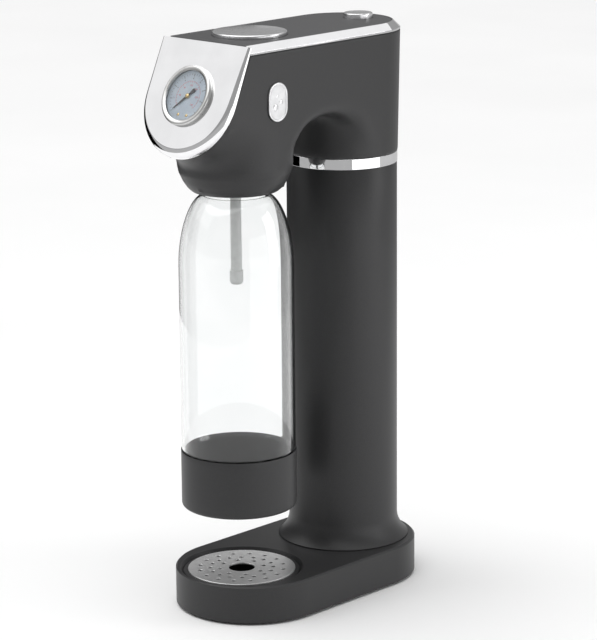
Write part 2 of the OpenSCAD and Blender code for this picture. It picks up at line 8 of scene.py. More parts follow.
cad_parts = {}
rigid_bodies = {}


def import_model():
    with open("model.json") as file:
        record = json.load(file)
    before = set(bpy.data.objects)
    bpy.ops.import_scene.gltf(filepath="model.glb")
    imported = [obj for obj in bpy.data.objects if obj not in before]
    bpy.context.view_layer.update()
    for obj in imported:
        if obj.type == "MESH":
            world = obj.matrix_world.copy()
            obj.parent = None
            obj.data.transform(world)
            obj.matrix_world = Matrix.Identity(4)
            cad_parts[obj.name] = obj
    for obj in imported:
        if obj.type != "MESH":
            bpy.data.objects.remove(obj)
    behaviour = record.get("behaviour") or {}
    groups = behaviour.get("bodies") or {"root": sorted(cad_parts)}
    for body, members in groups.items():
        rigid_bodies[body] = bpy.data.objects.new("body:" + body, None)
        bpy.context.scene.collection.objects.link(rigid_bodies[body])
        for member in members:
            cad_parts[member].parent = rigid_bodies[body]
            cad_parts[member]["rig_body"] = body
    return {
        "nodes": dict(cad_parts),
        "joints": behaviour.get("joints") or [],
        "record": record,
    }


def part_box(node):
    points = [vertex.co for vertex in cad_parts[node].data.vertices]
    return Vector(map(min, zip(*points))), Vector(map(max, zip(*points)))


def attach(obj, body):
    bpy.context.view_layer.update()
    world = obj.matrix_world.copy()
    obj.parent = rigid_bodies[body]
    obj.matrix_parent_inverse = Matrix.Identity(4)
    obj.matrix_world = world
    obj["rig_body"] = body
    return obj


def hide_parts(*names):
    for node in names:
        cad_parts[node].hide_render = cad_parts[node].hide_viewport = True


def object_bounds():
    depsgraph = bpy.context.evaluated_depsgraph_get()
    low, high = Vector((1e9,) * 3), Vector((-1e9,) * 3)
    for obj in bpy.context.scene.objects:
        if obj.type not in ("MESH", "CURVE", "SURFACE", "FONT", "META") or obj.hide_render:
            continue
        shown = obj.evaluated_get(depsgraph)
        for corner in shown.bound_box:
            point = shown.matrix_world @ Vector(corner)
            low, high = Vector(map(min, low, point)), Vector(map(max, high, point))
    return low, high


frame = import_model()
cad_low, cad_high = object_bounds()
NODES = frame["nodes"]
MM = 0.001
TURN = 2 * math.pi

# ---------------------------------------------------------------- camera

CAMERA_PLACE = Vector((1.4512, -1.5171, 0.7302))
CAMERA_AZIMUTH = math.radians(43.478)
CAMERA_PITCH = math.radians(13.948)
CAMERA_ROLL = math.radians(-0.477)
CAMERA_LENS = 163.97


def make_camera():
    """The photograph's view: a long lens, three quarters from the front right."""
    level = Vector((-math.sin(CAMERA_AZIMUTH), math.cos(CAMERA_AZIMUTH), 0))
    ahead = level * math.cos(CAMERA_PITCH) - Vector((0, 0, math.sin(CAMERA_PITCH)))
    right = Vector((math.cos(CAMERA_AZIMUTH), math.sin(CAMERA_AZIMUTH), 0))
    up = right.cross(ahead)
    across = right * math.cos(CAMERA_ROLL) + up * math.sin(CAMERA_ROLL)
    upward = up * math.cos(CAMERA_ROLL) - right * math.sin(CAMERA_ROLL)
    data = bpy.data.cameras.new("camera")
    data.sensor_width = 36
    data.lens = CAMERA_LENS
    camera = bpy.data.objects.new("camera", data)
    bpy.context.scene.collection.objects.link(camera)
    axes = Matrix((across, upward, -ahead)).transposed().to_4x4()
    camera.matrix_world = Matrix.Translation(CAMERA_PLACE) @ axes
    bpy.context.scene.camera = camera


make_camera()

# ---------------------------------------------------------------- materials


def socket_set(shader, values):
    """Sets a shader's inputs by name."""
    for name, value in values.items():
        shader.inputs[name].default_value = value


def surface(name, low, high, rough, grain, bump=0.0, stretch=(1, 1, 1), **sockets):
    """A finish whose colour runs from low to high and roughness over rough, in a noise grain."""
    material = bpy.data.materials.new(name)
    material.use_nodes = True
    nodes, links = material.node_tree.nodes, material.node_tree.links
    shader = nodes["Principled BSDF"]
    where = nodes.new("ShaderNodeTexCoord")
    mapping = nodes.new("ShaderNodeMapping")
    mapping.inputs["Scale"].default_value = stretch
    links.new(where.outputs["Object"], mapping.inputs["Vector"])
    noise = nodes.new("ShaderNodeTexNoise")
    noise.inputs["Scale"].default_value = grain
    noise.inputs["Detail"].default_value = 4
    links.new(mapping.outputs["Vector"], noise.inputs["Vector"])
    ramp = nodes.new("ShaderNodeValToRGB")
    ramp.color_ramp.elements[0].position = 0.35
    ramp.color_ramp.elements[0].color = (*low, 1)
    ramp.color_ramp.elements[1].position = 0.65
    ramp.color_ramp.elements[1].color = (*high, 1)
    links.new(noise.outputs["Fac"], ramp.inputs["Fac"])
    links.new(ramp.outputs["Color"], shader.inputs["Base Color"])
    spread = nodes.new("ShaderNodeMapRange")
    spread.inputs["From Min"].default_value = 0.3
    spread.inputs["From Max"].default_value = 0.7
    spread.inputs["To Min"].default_value = rough[0]
    spread.inputs["To Max"].default_value = rough[1]
    links.new(noise.outputs["Fac"], spread.inputs["Value"])
    links.new(spread.outputs["Result"], shader.inputs["Roughness"])
    if bump:
        relief = nodes.new("ShaderNodeBump")
        relief.inputs["Strength"].default_value = 0.6
        relief.inputs["Distance"].default_value = bump
        links.new(noise.outputs["Fac"], relief.inputs["Height"])
        links.new(relief.outputs["Normal"], shader.inputs["Normal"])
    socket_set(shader, {k.replace("_", " "): v for k, v in sockets.items()})
    return material


def make_finishes():
    """One finish for each material slot of the record, and two inks for the gauge's dial."""
    metal = {"Metallic": 1.0}
    return {
        "dark_shell": surface("dark_shell", (.032, .032, .033), (.038, .038, .039), (.38, .44), 1400,
                              2e-5, Specular_IOR_Level=.3),
        "dark_panel": surface("dark_panel", (.058, .058, .060), (.066, .066, .068), (.46, .54), 1400,
                              2e-5, Specular_IOR_Level=.40),
        "black_plastic": surface("black_plastic", (.018, .018, .019), (.026, .026, .027), (.42, .55),
                                 1100, 3e-5),
        "rubber": surface("rubber", (.014, .014, .014), (.022, .022, .022), (.7, .85), 900, 5e-5),
        "silicone": surface("silicone", (.50, .50, .50), (.58, .58, .58), (.45, .6), 500, 2e-5),
        "screw_steel": surface("screw_steel", (.52, .52, .53), (.66, .66, .67), (.22, .38), 900, 1e-5,
                               **metal),
        "grate_steel": surface("grate_steel", (.90, .90, .90), (.97, .97, .97), (.34, .46), 300, 6e-6,
                               (1, 12, 1), **metal),
        "chrome": surface("chrome", (.88, .88, .89), (.93, .93, .94), (.03, .07), 60, 0, **metal),
        "mask_chrome": surface("mask_chrome", (.88, .88, .89), (.93, .93, .94), (.04, .09), 45, 0,
                               **metal),
        "badge_metal": surface("badge_metal", (.70, .70, .71), (.76, .76, .77), (.28, .34), 240, 0,
                               **metal),
        "button_satin": surface("button_satin", (.80, .80, .81), (.85, .85, .86), (.20, .25), 120,
                                0, (1, 14, 1), **metal),
        "bezel_silver": surface("bezel_silver", (.64, .64, .63), (.70, .70, .69), (.26, .32), 120,
                                0, **metal),
        "cylinder_paint": surface("cylinder_paint", (.14, .20, .24), (.18, .24, .28), (.25, .35), 500,
                                  2e-5, Coat_Weight=.4),
        "brass": surface("brass", (.66, .48, .20), (.78, .60, .30), (.20, .34), 600, 1e-5, **metal),
        "copper": surface("copper", (.70, .36, .22), (.82, .48, .32), (.18, .32), 500, 1e-5, **metal),
        "cast_alloy": surface("cast_alloy", (.42, .43, .45), (.56, .57, .59), (.38, .55), 900, 4e-5,
                              **metal),
        "dial_face": surface("dial_face", (.66, .76, .86), (.72, .81, .90), (.35, .45), 200),
        "needle_black": surface("needle_black", (.010, .010, .010), (.018, .018, .018), (.35, .45),
                                400),
        "clear_glass": surface("clear_glass", (.97, .98, .99), (1, 1, 1), (.0, .01), 40,
                               Transmission_Weight=1.0, IOR=1.45),
        "clear_bottle": surface("clear_bottle", (.965, .975, .975), (.99, .995, .995), (.01, .03), 30,
                                0, Transmission_Weight=1.0, IOR=1.5),
        "nozzle_plastic": surface("nozzle_plastic", (.78, .79, .78), (.84, .85, .84), (.30, .40), 300,
                                  1e-5),
        "print_black": surface("print_black", (.015, .015, .018), (.03, .03, .035), (.4, .5), 500),
        "print_red": surface("print_red", (.62, .12, .16), (.72, .20, .24), (.4, .5), 500),
    }


FINISH = make_finishes()
SLOT_OF = {s["node"]: s["material_slot"] for s in frame["record"]["subparts"]}
for node_name, node_object in NODES.items():
    node_object.data.materials.clear()
    node_object.data.materials.append(FINISH[SLOT_OF[node_name]])

# ---------------------------------------------------------------- mesh helpers


def body_with(node):
    """The name of the body that holds a CAD node."""
    return NODES[node]["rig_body"]


def add_piece(name, mesh, body, finish, *stands_for):
    """Puts a mesh in the scene, riding on a body and standing for the CAD nodes named."""
    piece = bpy.data.objects.new(name, mesh)
    bpy.context.scene.collection.objects.link(piece)
    mesh.materials.clear()
    mesh.materials.append(FINISH[finish])
    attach(piece, body)
    if stands_for:
        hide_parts(*stands_for)
    return piece


def mesh_from(name, bm, smooth_angle=35):
    """Closes a bmesh into a mesh, smooth but for edges sharper than the angle."""
    bmesh.ops.recalc_face_normals(bm, faces=bm.faces)
    mesh = bpy.data.meshes.new(name)
    for face in bm.faces:
        face.smooth = True
    for edge in bm.edges:
        edge.smooth = len(edge.link_faces) == 2 and \
            edge.calc_face_angle(0) < math.radians(smooth_angle)
    bm.to_mesh(mesh)
    bm.free()
    return mesh


def applied(piece):
    """Applies a piece's modifiers to its mesh."""
    graph = bpy.context.evaluated_depsgraph_get()
    done = bpy.data.meshes.new_from_object(piece.evaluated_get(graph))
    piece.modifiers.clear()
    piece.data = done


def softened(node, width=0.4 * MM, segments=2):
    """A copy of a CAD node with its sharp edges rounded over, which stands for it."""
    bm = bmesh.new()
    bm.from_mesh(NODES[node].data)
    bmesh.ops.remove_doubles(bm, verts=bm.verts, dist=1e-6)
    bmesh.ops.dissolve_limit(bm, angle_limit=math.radians(0.4), verts=bm.verts, edges=bm.edges)
    piece = add_piece(node + "_finished", mesh_from(node, bm), body_with(node), SLOT_OF[node], node)
    bevel = piece.modifiers.new("edge", "BEVEL")
    bevel.width = width
    bevel.segments = segments
    bevel.limit_method = "ANGLE"
    bevel.angle_limit = math.radians(38)
    bevel.harden_normals = False
    bevel.use_clamp_overlap = True
    applied(piece)
    return piece


def lathe(profile, axis_y, steps=128):
    """A bmesh turned from (radius, height) points about the vertical line through (0, axis_y)."""
    bm = bmesh.new()
    rings = []
    for radius, height in profile:
        if radius < 1e-7:
            rings.append([bm.verts.new((0, axis_y, height))])
        else:
            rings.append([bm.verts.new((radius * math.cos(TURN * i / steps),
                                        axis_y + radius * math.sin(TURN * i / steps), height))
                          for i in range(steps)])
    for low, high in zip(rings, rings[1:]):
        for i in range(steps):
            j = (i + 1) % steps
            if len(low) == 1 and len(high) > 1:
                bm.faces.new((low[0], high[j], high[i]))
            elif len(high) == 1 and len(low) > 1:
                bm.faces.new((low[i], low[j], high[0]))
            elif len(low) > 1:
                bm.faces.new((low[i], low[j], high[j], high[i]))
    return bm


def join_loops(bm, a, b):
    """A strip of faces between two closed loops of vertices."""
    for i in range(len(a)):
        j = (i + 1) % len(a)
        bm.faces.new((a[i], a[j], b[j], b[i]))


def arc(centre, radius, start, end, steps=8):
    """Points on an arc in the (radius, height) plane, angles in degrees."""
    return [(centre[0] + radius * math.cos(math.radians(start + (end - start) * i / steps)),
             centre[1] + radius * math.sin(math.radians(start + (end - start) * i / steps)))
            for i in range(steps + 1)]


def middle(node):
    """Centre of a CAD node's box."""
    low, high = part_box(node)
    return (low + high) / 2


def radius_of(node):
    """Half the width of a CAD node."""
    low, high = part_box(node)
    return (high.x - low.x) / 2

# ---------------------------------------------------------------- plinth and column

for part_name in ["bottom_plate", "rubber_feet", "cylinder_hatch", "drip_tray", "gas_cylinder",
                  "cylinder_valve", "cylinder_seat", "chassis", "manifold_block", "valve_lever",
                  "bottle_socket", "release_valve", "relief_valve", "gauge_case"]:
    softened(part_name, 0.3 * MM)
softened("base_shell", 0.7 * MM, 3)
softened("drip_grate", 0.2 * MM)
softened("column_ring", 0.3 * MM)


def make_column():
    """The tall tube with its flared foot and the seam lip on the plinth."""
    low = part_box("column_tube")[0]
    ring_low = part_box("column_ring")[0].z
    tube_r = radius_of("column_ring") - 0.3 * MM
    foot_r = radius_of("column_tube")
    lip = 0.9 * MM
    wall = 2.4 * MM
    bore = 34 * MM
    flare_h = 17.1 * MM
    step = foot_r - tube_r
    flare_r = (flare_h ** 2 + step ** 2) / (2 * step)
    sweep = math.degrees(math.asin(flare_h / flare_r))
    centre = (tube_r + flare_r, low.z + lip + flare_h)
    profile = [(bore, low.z), (foot_r - 0.3 * MM, low.z), (foot_r, low.z + 0.3 * MM),
               (foot_r, low.z + lip - 0.1 * MM)]
    profile += arc(centre, flare_r, 180 + sweep, 180, 24)
    profile += [(tube_r, ring_low * f + (1 - f) * centre[1]) for f in (0.25, 0.5, 0.75)]
    profile += [(tube_r, ring_low - 0.4 * MM), (tube_r - 0.4 * MM, ring_low)]
    profile += [(bore, ring_low), (bore, ring_low - 5 * MM), (tube_r - wall, ring_low - 5 * MM),
                (tube_r - wall, low.z + 6 * MM), (bore, low.z + 6 * MM), (bore, low.z)]
    bm = lathe(profile, middle("column_tube").y, 160)
    bmesh.ops.remove_doubles(bm, verts=bm.verts, dist=1e-7)
    add_piece("column", mesh_from("column", bm, 50), body_with("column_tube"), "dark_shell",
              "column_tube")


make_column()

# ---------------------------------------------------------------- head casing

needle_joint = next(j for j in frame["joints"] if j["name"] == "needle_swing")
FACE_OUT = -Vector(needle_joint["axis"]).normalized()
FACE_UP = FACE_OUT.cross(Vector((1, 0, 0)))
FACE = Matrix.Translation(needle_joint["pos_m"]) @ \
    Matrix((Vector((1, 0, 0)), FACE_UP, FACE_OUT)).transposed().to_4x4()
HEAD_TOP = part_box("top_panel")[1].z
MASK_T = 8 * MM  # depth of the CAD rim
GAUGE_DROP = (HEAD_TOP - FACE.translation.z) / FACE_UP.z  # face's top edge to the gauge's centre
ROUND_DROP = 1.0 * MM  # gauge's centre to the centre of the round end
RIM_TOP = 2.4 * MM  # depth of the finished rim at the top edge
RIM_TAPER = 0.0645  # how fast it deepens down the face


def rim_depth(y):
    """Depth of the mask's rim at a height y up the face from the gauge's centre."""
    return RIM_TOP + RIM_TAPER * (GAUGE_DROP - y)


def smooth_step(x, start, end):
    """0 before start, 1 after end, and smooth between."""
    t = min(max((x - start) / (end - start), 0), 1)
    return t * t * (3 - 2 * t)


def make_head():
    """The head's one-piece casing: the CAD shell, remeshed finely and blended under its arch.

    Its front edge is drawn forward to the mask's tapered rim, and in to the mask's round end.
    """
    bm = bmesh.new()
    bm.from_mesh(NODES["head_shell"].data)
    bmesh.ops.remove_doubles(bm, verts=bm.verts, dist=1e-6)
    piece = add_piece("head_casing", mesh_from("head_casing", bm), body_with("head_shell"),
                      "dark_shell", "head_shell")
    remesh = piece.modifiers.new("remesh", "REMESH")
    remesh.mode = "VOXEL"
    remesh.voxel_size = 1.1 * MM
    applied(piece)
    low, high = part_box("head_shell")
    column_y = middle("column_ring").y
    blend = piece.vertex_groups.new(name="blend")
    all_over = piece.vertex_groups.new(name="all_over")
    face_inverse = FACE.inverted()
    bottle_y = middle("bottle").y
    bore = 40.2 * MM
    floor_z = low.z + 52.5 * MM
    inner_half = high.x - 3.5 * MM
    arch_foot = low.z + 19 * MM, low.z + 27 * MM
    arch_crown = low.z + 62 * MM, low.z + 92 * MM
    rear_edge = column_y - 12 * MM, column_y + 6 * MM
    reach = 14 * MM
    face_r = radius_of("front_mask") - 0.3 * MM
    for vertex in piece.data.vertices:
        place = vertex.co
        local = face_inverse @ place
        behind = -local.z - MASK_T
        if behind < reach:
            near_front = 1 - max(behind, 0) / reach
            below = local.y + ROUND_DROP
            spread = math.hypot(local.x, below)
            if below < 0 and spread > face_r:
                pull = (1 - face_r / spread) * near_front
                place.x -= local.x * pull
                place -= FACE_UP * (below * pull)
            place.y += (MASK_T - rim_depth(local.y)) * near_front / FACE_OUT.y
        in_bore = min(math.hypot(place.x, place.y - column_y),
                      math.hypot(place.x, place.y - bottle_y)) < bore
        inside = in_bore or (place.z > floor_z and abs(place.x) < inner_half)
        under_arch = smooth_step(place.z, *arch_foot) * (1 - smooth_step(place.z, *arch_crown))
        clear_rear = 1 - smooth_step(place.y, *rear_edge)
        clear_face = smooth_step(behind, 1.5 * MM, 7 * MM)
        weight = 0 if inside else under_arch * clear_rear * clear_face
        blend.add([vertex.index], weight, "REPLACE")
        edge = smooth_step(behind, 0.8 * MM, 2.5 * MM) * \
            (1 - smooth_step(place.z, high.z - 2.5 * MM, high.z - 0.8 * MM))
        all_over.add([vertex.index], edge, "REPLACE")
    wide = piece.modifiers.new("wide", "SMOOTH")
    wide.factor = 0.5
    wide.iterations = 420
    wide.vertex_group = "blend"
    fine = piece.modifiers.new("fine", "SMOOTH")
    fine.factor = 0.5
    fine.iterations = 3
    fine.vertex_group = "all_over"
    applied(piece)
    piece.data.polygons.foreach_set("use_smooth", [True] * len(piece.data.polygons))


make_head()


def outline(inset, half, drop, top, steps=48):
    """Points round the face, inset: down its right side, round its end and up its left side."""
    r = half - inset
    points = [(r, top)]
    points += [(r, top + (-drop - top) * f) for f in (0.25, 0.5, 0.75)]
    points += [(r * math.cos(-math.pi * i / steps), -drop + r * math.sin(-math.pi * i / steps))
               for i in range(steps + 1)]
    points += [(-r, top + (-drop - top) * f) for f in (0.75, 0.5, 0.25)]
    points += [(-r, top)]
    return points


def make_mask():
    """The bright face: a thin plate, a rim that deepens and rounds downwards, and a gauge hole."""
    half = radius_of("front_mask")
    plate = 1.4 * MM
    wall = 5 * MM
    hole = 21.3 * MM
    fillet_steps = 10
    fillet_share = 0.8
    edge_line = outline(0, half, ROUND_DROP, GAUGE_DROP)
    wall_line = outline(wall, half, ROUND_DROP, GAUGE_DROP - 0.01 * MM)
    bm = bmesh.new()

    def loop(place_at):
        made = []
        for (x0, y0), (x1, y1) in zip(edge_line, wall_line):
            inset, depth = place_at(rim_depth(y0))
            t = inset / wall
            made.append(bm.verts.new((x0 + (x1 - x0) * t, y0 + (y1 - y0) * t, -depth)))
        return made

    def plate_face(edge_loop, depth):
        steps = 96
        ring = [bm.verts.new((hole * math.cos(TURN * i / steps), hole * math.sin(TURN * i / steps),
                              depth)) for i in range(steps)]
        edges = []
        for verts in (edge_loop, ring):
            for i in range(len(verts)):
                pair = (verts[i], verts[(i + 1) % len(verts)])
                edges.append(bm.edges.get(pair) or bm.edges.new(pair))
        bmesh.ops.triangle_fill(bm, edges=edges, use_beauty=True)
        return ring

    def fillet(share):
        a = math.pi / 2 * share
        return lambda deep: (fillet_share * deep * (1 - math.cos(a)),
                             fillet_share * deep * (1 - math.sin(a)))

    outer = [loop(lambda deep: (0, deep))]
    outer += [loop(fillet(i / fillet_steps)) for i in range(fillet_steps + 1)]
    for a, b in zip(outer, outer[1:]):
        join_loops(bm, a, b)
    inside = [loop(lambda deep: (wall, plate)), loop(lambda deep: (wall, deep))]
    join_loops(bm, inside[0], inside[1])
    join_loops(bm, inside[1], outer[0])
    front_ring = plate_face(outer[-1], 0)
    back_ring = plate_face(inside[0], -plate)
    join_loops(bm, front_ring, back_ring)
    bm.transform(FACE)
    add_piece("face_mask", mesh_from("mask", bm, 40), body_with("front_mask"), "mask_chrome",
              "front_mask")


make_mask()


def make_trim():
    """Bright sloped band round the top, from one side of the mask round the rear to the other."""
    low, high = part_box("top_trim")
    wide = radius_of("top_trim")
    axis_y = middle("column_ring").y
    face_top = FACE @ Vector((0, GAUGE_DROP, 0))
    cos_lean, sin_lean = -FACE_OUT.y, FACE_OUT.z
    slope = 5.4 * MM
    lip = 0.6 * MM
    ledge = high.z - 3.2 * MM
    profile = [(wide - 0.2 * MM, low.z), (wide, low.z + 0.2 * MM), (wide, low.z + 0.9 * MM),
               (wide - 0.5 * MM, low.z + 1.0 * MM), (wide - 0.5 * MM, low.z + 1.25 * MM),
               (wide - 0.3 * MM, low.z + 1.45 * MM), (wide - slope + 0.4 * MM, high.z - 0.2 * MM),
               (wide - slope, high.z), (wide - slope - lip, high.z), (wide - slope - lip, ledge),
               (wide - slope - 2.2 * MM, ledge), (wide - slope - 2.2 * MM, low.z)]
    steps = 64
    bm = bmesh.new()
    loops = []
    for reach, z in profile:
        down = z - face_top.z
        front_y = face_top.y + (RIM_TOP + down * (sin_lean - RIM_TAPER * cos_lean)) / \
            (cos_lean + RIM_TAPER * sin_lean)
        path = [(reach, front_y)]
        path += [(reach * math.cos(math.pi * i / steps), axis_y + reach * math.sin(math.pi * i / steps))
                 for i in range(steps + 1)]
        path += [(-reach, front_y)]
        loops.append([bm.verts.new((x, y, z)) for x, y in path])
    for a, b in zip(loops, loops[1:] + loops[:1]):
        for i in range(len(a) - 1):
            bm.faces.new((a[i], a[i + 1], b[i + 1], b[i]))
    for end in (0, -1):
        bm.faces.new([line[end] for line in loops])
    add_piece("trim", mesh_from("trim", bm, 25), body_with("top_trim"), "chrome", "top_trim")


make_trim()

# ---------------------------------------------------------------- buttons


def make_big_button():
    """Wide push button: a faintly domed spun top, a rounded rim, a skirt and its stem."""
    low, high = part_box("carbonation_button")
    r = radius_of("carbonation_button")
    skirt = high.z - 8.6 * MM
    roof = high.z - 2.6 * MM
    dome = [((r - 1.2 * MM) * i / 12, high.z - 0.7 * MM * (i / 12) ** 2) for i in range(13)]
    rim = arc((r - 1.0 * MM, high.z - 1.7 * MM), 1.0 * MM, 80, 0, 6)
    profile = dome + rim + [(r, skirt + 0.2 * MM), (r - 0.2 * MM, skirt), (r - 2 * MM, skirt),
                            (r - 2 * MM, roof), (7 * MM, roof), (7 * MM, low.z + 3.7 * MM),
                            (3 * MM, low.z + 3.7 * MM), (3 * MM, low.z), (0, low.z)]
    bm = lathe(profile, middle("carbonation_button").y)
    add_piece("button_large", mesh_from("button_large", bm, 50), "carbonation_button",
              "button_satin", "carbonation_button")


def make_small_button():
    """Small push button with a rounded rim and a thin stem."""
    low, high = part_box("release_button")
    r = radius_of("release_button")
    stem = 2.5 * MM
    cap_low = high.z - 8 * MM
    dome = [((r - 0.9 * MM) * i / 8, high.z - 0.25 * MM * (i / 8) ** 2) for i in range(9)]
    profile = dome + arc((r - 0.8 * MM, high.z - 1.05 * MM), 0.8 * MM, 80, 0, 5)
    profile += [(r, cap_low), (stem, cap_low), (stem, low.z), (0, low.z)]
    bm = lathe(profile, middle("release_button").y, 96)
    add_piece("button_small", mesh_from("button_small", bm, 50), "release_button",
              "button_satin", "release_button")


make_big_button()
make_small_button()

# ---------------------------------------------------------------- gauge

SWEEP_START = 225
SWEEP = 270
MARK_T = 0.06 * MM
DIAL_TOP = -0.4 * MM
GLASS_R = 19.2 * MM
GAUGE_BODY = body_with("gauge_bezel")


def on_dial(angle, radius):
    """Point on the dial at an angle in degrees and a radius."""
    return Vector((radius * math.cos(math.radians(angle)), radius * math.sin(math.radians(angle)), 0))


def add_block(bm, place, size, turn=0):
    """A thin block centred at a place and turned about the dial's normal, in degrees."""
    made = bmesh.ops.create_cube(bm, size=1)["verts"]
    spin = Matrix.Rotation(math.radians(turn), 4, "Z")
    for vertex in made:
        local = Vector(vertex.co[k] * size[k] for k in range(3))
        vertex.co = (spin @ local) + place


def add_number(bm, text, place, height):
    """A number lying on the dial, as geometry."""
    curve = bpy.data.curves.new("number", "FONT")
    curve.body = text
    curve.size = height
    curve.align_x = "CENTER"
    curve.align_y = "CENTER"
    curve.extrude = MARK_T / 2
    holder = bpy.data.objects.new("number", curve)
    bpy.context.scene.collection.objects.link(holder)
    bpy.context.view_layer.update()
    mesh = bpy.data.meshes.new_from_object(holder.evaluated_get(
        bpy.context.evaluated_depsgraph_get()))
    mesh.transform(Matrix.Translation(place))
    bm.from_mesh(mesh)
    bpy.data.objects.remove(holder)


def make_gauge_case():
    """Silver bezel, domed glass and the plain plate of the dial."""
    bezel_r = radius_of("gauge_bezel")
    window = 18.6 * MM
    case_r = 19.4 * MM
    proud = 3.4 * MM
    glass_top = 2.5 * MM
    glass_low = 1.65 * MM
    profile = [(bezel_r, 0.1 * MM)]
    profile += arc((bezel_r - 1.6 * MM, proud - 1.6 * MM), 1.6 * MM, 0, 82, 8)
    profile += [(window + 1.2 * MM, proud - 0.15 * MM), (window + 0.4 * MM, proud - 0.5 * MM),
                (window, 2.65 * MM), (case_r, 2.6 * MM), (case_r, 0.1 * MM), (bezel_r, 0.1 * MM)]
    bm = lathe(profile, 0, 128)
    bmesh.ops.remove_doubles(bm, verts=bm.verts, dist=1e-7)
    bm.transform(FACE)
    add_piece("gauge_rim", mesh_from("gauge_rim", bm, 45), GAUGE_BODY, "bezel_silver",
              "gauge_bezel")

    glass = [(GLASS_R * i / 8, glass_top - 0.2 * MM * (i / 8) ** 2) for i in range(9)]
    glass += [(GLASS_R, glass_low), (0, glass_low)]
    bm = lathe(glass, 0, 96)
    bm.transform(FACE)
    add_piece("gauge_lens", mesh_from("gauge_lens", bm), GAUGE_BODY, "clear_glass", "gauge_glass")

    bm = lathe([(0, DIAL_TOP), (17 * MM, DIAL_TOP), (18.2 * MM, DIAL_TOP + 0.25 * MM),
                (GLASS_R, DIAL_TOP + 0.3 * MM), (GLASS_R, DIAL_TOP - 0.8 * MM),
                (0, DIAL_TOP - 0.8 * MM)], 0, 96)
    bm.transform(FACE)
    add_piece("dial_plate", mesh_from("dial_plate", bm), GAUGE_BODY, "dial_face", "gauge_dial")


def make_dial_print():
    """The dial's black outer scale, its red inner one with a dashed ring, and their numbers."""
    black_edge, black_numbers = 16.9 * MM, 13.3 * MM
    red_ring, red_edge, red_numbers = 11.2 * MM, 11.1 * MM, 8.1 * MM
    level = Vector((0, 0, DIAL_TOP + MARK_T / 2))
    black, red = bmesh.new(), bmesh.new()
    for i in range(33):
        angle = SWEEP_START - SWEEP * i / 32
        major = i % 4 == 0
        length = (2.2 if major else 1.2) * MM
        add_block(black, on_dial(angle, black_edge - length / 2) + level,
                  (length, (0.32 if major else 0.16) * MM, MARK_T), angle)
    for i in range(8):
        angle = SWEEP_START - SWEEP * i / 8
        add_number(black, str(2 * i), on_dial(angle, black_numbers) + level, 1.7 * MM)
    for i in range(73):
        angle = SWEEP_START - SWEEP * i / 72
        add_block(red, on_dial(angle, red_ring) + level, (0.22 * MM, 0.62 * MM, MARK_T), angle)
        if i % 3 == 0:
            length = (1.5 if i % 12 == 0 else 0.8) * MM
            add_block(red, on_dial(angle, red_edge - length / 2) + level,
                      (length, 0.2 * MM, MARK_T), angle)
    for i in range(1, 7):
        angle = SWEEP_START - SWEEP * i / 6
        add_number(red, str(40 * i), on_dial(angle, red_numbers) + level, 1.9 * MM)
    for name, bm, finish in (("dial_black", black, "print_black"), ("dial_red", red, "print_red")):
        bm.transform(FACE)
        add_piece(name, mesh_from(name, bm), GAUGE_BODY, finish)


def make_dial_screws():
    """Two small brass screws low on the dial."""
    for side in (-1, 1):
        screw = lathe([(0, 0.3 * MM), (0.8 * MM, 0.3 * MM), (1.1 * MM, 0.1 * MM), (1.1 * MM, 0),
                       (0, 0)], 0, 24)
        screw.transform(FACE @ Matrix.Translation((side * 4 * MM, -14 * MM, DIAL_TOP)))
        add_piece(f"dial_screw_{'left' if side < 0 else 'right'}", mesh_from("screw", screw),
                  GAUGE_BODY, "brass")


def make_needle():
    """The needle with its tail, at the scale's start, and its brass hub."""
    bm = bmesh.new()
    thick = 0.6 * MM
    shape = [(-7.5, -1.0), (-6.4, -1.5), (-4.6, -1.0), (-2.2, -0.55), (0, -0.75), (8, -0.36),
             (14.6, -0.1), (14.6, 0.1), (8, 0.36), (0, 0.75), (-2.2, 0.55), (-4.6, 1.0),
             (-6.4, 1.5), (-7.5, 1.0)]
    tops = [bm.verts.new((x * MM, y * MM, thick)) for x, y in shape]
    lows = [bm.verts.new((x * MM, y * MM, 0)) for x, y in shape]
    bm.faces.new(tops)
    bm.faces.new(lows)
    join_loops(bm, tops, lows)
    spin = Matrix.Rotation(math.radians(SWEEP_START), 4, "Z")
    bm.transform(FACE @ spin)
    add_piece("needle", mesh_from("needle", bm), "gauge_needle", "needle_black", "gauge_needle")
    hub = lathe([(0, 1.3 * MM), (1.0 * MM, 1.25 * MM), (1.6 * MM, 1.0 * MM), (1.7 * MM, 0.6 * MM),
                 (1.7 * MM, -0.05 * MM), (0.8 * MM, -0.05 * MM), (0.8 * MM, -3 * MM),
                 (0, -3 * MM)], 0, 32)
    hub.transform(FACE)
    add_piece("needle_hub", mesh_from("needle_hub", hub), "gauge_needle", "brass")


make_gauge_case()
make_dial_print()
make_dial_screws()
make_needle()

# ---------------------------------------------------------------- side plaque


def pill(half_w, half_h, inset, depth, steps=24):
    """Points of an upright pill at a depth out from the head's side, as (depth, y, z)."""
    r = half_w - inset
    points = []
    for end in (1, -1):
        for i in range(steps + 1):
            a = math.pi * i / steps + (0 if end > 0 else math.pi)
            points.append((depth, r * math.cos(a), end * half_h + r * math.sin(a)))
    return points


